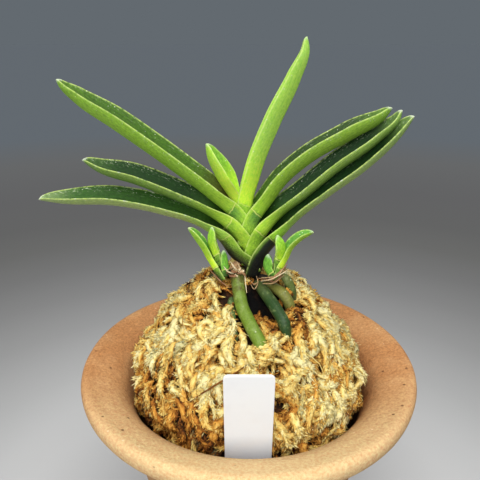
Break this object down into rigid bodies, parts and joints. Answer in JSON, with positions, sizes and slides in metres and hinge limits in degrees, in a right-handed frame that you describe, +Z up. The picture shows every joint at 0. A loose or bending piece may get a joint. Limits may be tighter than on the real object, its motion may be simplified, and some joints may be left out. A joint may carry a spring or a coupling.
{
  "type": "potted wind orchid",
  "caption": "Small fan-shaped orchid with thick roots in a moss mound, in a flared clay pot with a blank white label.",
  "frame": {"origin": "on the pot's axis, in the plane of the flat underside of its foot", "axes": "+Z up along the pot's axis and the longest extent, +X to the right in the fan's plane, -Y towards the viewer on the label's side"},
  "size_m": [0.1133, 0.105, 0.1846],
  "materials": {
    "clay": "unglazed sandy clay, matt, fine grain",
    "moss": "dried sphagnum strands, cream to amber brown",
    "label": "smooth white, blank",
    "leaf": "waxy green leaf, dark inside, pale margins",
    "new_leaf": "waxy yellow-green young leaf",
    "stem": "dark woody stem",
    "root": "smooth green root",
    "dry_sheath": "dry papery brown sheath"
  },
  "bodies": {
    "root": {"pot": "clay", "moss_mound": "moss", "name_label": "label", "main_stem": "stem", "leaf_centre_new": "new_leaf", "leaf_centre_tall": "new_leaf", "leaf_left_upper": "leaf", "leaf_left_middle": "leaf", "leaf_left_lower": "leaf", "leaf_right_upper": "leaf", "leaf_right_middle": "leaf", "leaf_right_lower": "leaf", "offshoot_left_stem": "stem", "offshoot_left_leaf_upright": "new_leaf", "offshoot_left_leaf_inner": "new_leaf", "offshoot_left_leaf_outer": "new_leaf", "offshoot_right_stem": "stem", "offshoot_right_leaf_upright": "new_leaf", "offshoot_right_leaf_small": "new_leaf", "offshoot_right_leaf_arching": "new_leaf", "root_front": "root", "root_front_right": "root", "root_right": "root", "root_right_upper": "root", "root_back": "root", "root_left": "root", "root_left_buried": "root", "sheath_scrap_right": "dry_sheath", "sheath_scrap_left": "dry_sheath"}
  },
  "joints": []
}
